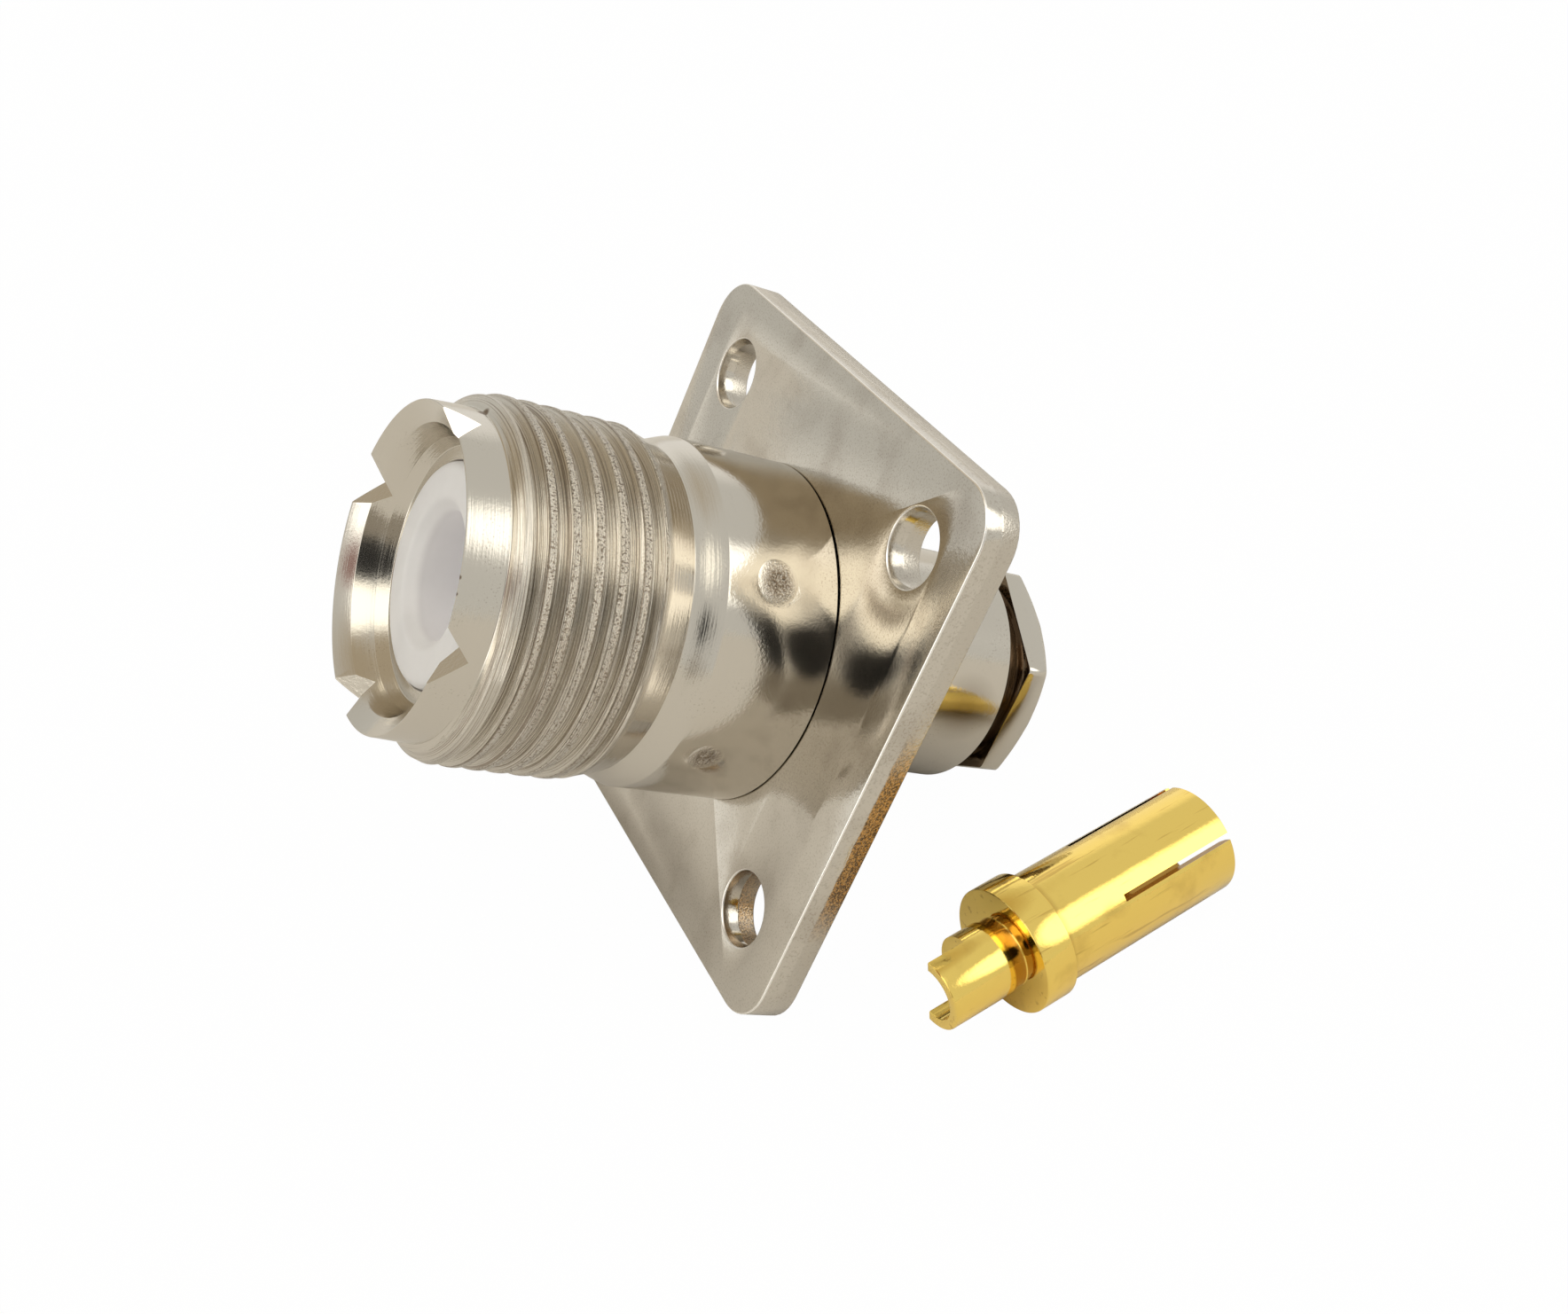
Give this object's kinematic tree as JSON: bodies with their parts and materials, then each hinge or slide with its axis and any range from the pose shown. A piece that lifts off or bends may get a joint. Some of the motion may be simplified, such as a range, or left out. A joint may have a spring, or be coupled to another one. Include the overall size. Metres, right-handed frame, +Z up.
{
  "type": "uhf panel jack with cable clamp",
  "caption": "Coaxial panel jack with a square flange, a threaded and notched mouth and a rear cable clamp; its slotted centre contact lies loose beside it.",
  "frame": {"origin": "middle of the flange's front face, where the jack's axis crosses it", "axes": "+Z up from the table; the jack's mating end points to -X and up by the tilt at which it lies; +Y goes across, away from the loose contact"},
  "size_m": [0.0343, 0.032, 0.0268],
  "materials": {
    "nickel": "nickel plate on brass",
    "ptfe": "white, smooth",
    "rubber": "matt",
    "gold": "gold plate, polished"
  },
  "bodies": {
    "jack": {"shell": "nickel", "flange": "nickel", "front_insulator": "ptfe", "rear_insulator": "ptfe", "braid_clamp": "nickel", "gasket": "rubber", "centre_contact": "gold"},
    "thrust": {"slip_washer": "nickel"},
    "nut": {"clamp_nut": "nickel"}
  },
  "joints": [
    {"name": "nut_advance", "type": "slide", "parent": "jack", "child": "thrust", "axis": [0.8553, 0, -0.5181], "range_m": [-0.00038, 0.0034]},
    {"name": "nut_turn", "type": "hinge", "parent": "thrust", "child": "nut", "pos_m": [0.01112, 0, -0.00673], "axis": [0.8553, 0, -0.5181], "range_deg": [-183, 1633]}
  ],
  "couplings": [
    {"joint": "nut_turn", "follows": "nut_advance", "rad_per_m": 8377.6}
  ]
}
